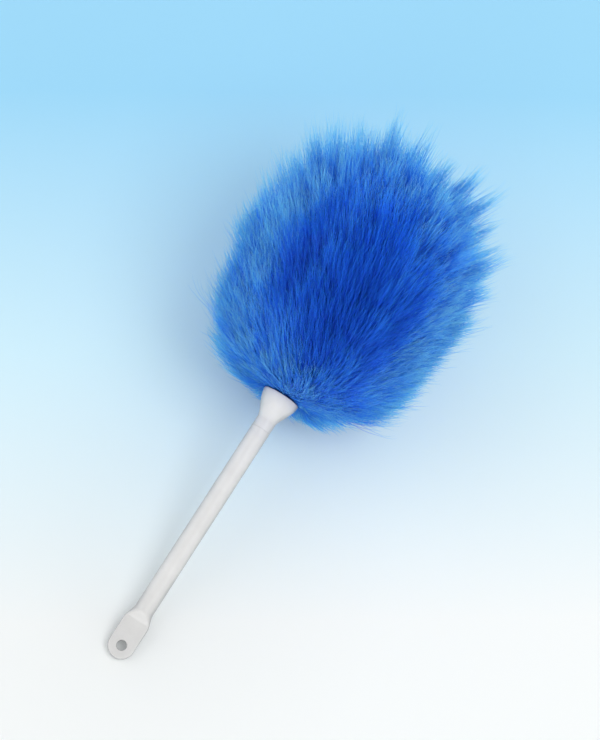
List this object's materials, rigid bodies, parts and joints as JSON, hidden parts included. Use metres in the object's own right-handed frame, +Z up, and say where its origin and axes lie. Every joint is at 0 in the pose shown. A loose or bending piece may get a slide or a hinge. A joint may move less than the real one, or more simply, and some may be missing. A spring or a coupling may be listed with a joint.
{
  "type": "hand duster",
  "caption": "Short hand duster with a round ball of dyed lambswool, a flared collar and a slim plastic handle that ends in a flat hang tab with a hole.",
  "frame": {"origin": "centre of the bottom of the box round the duster as it lies on a table", "axes": "+Z up from the table, +X along the floor from the hang tab towards the wool, +Y across"},
  "size_m": [0.3398, 0.149, 0.144],
  "materials": {
    "moulded_plastic": "satin",
    "dowel_wood": "matte",
    "sheepskin_hide": "matte",
    "steel_wire": "satin",
    "dyed_wool": "matte"
  },
  "bodies": {
    "root": {"handle": "moulded_plastic", "collar": "moulded_plastic", "core_rod": "dowel_wood", "hide_strip": "sheepskin_hide", "crown_patch": "sheepskin_hide", "crown_tack": "steel_wire", "lower_staple": "steel_wire", "upper_staple": "steel_wire", "wool_pile": "dyed_wool"}
  },
  "joints": []
}
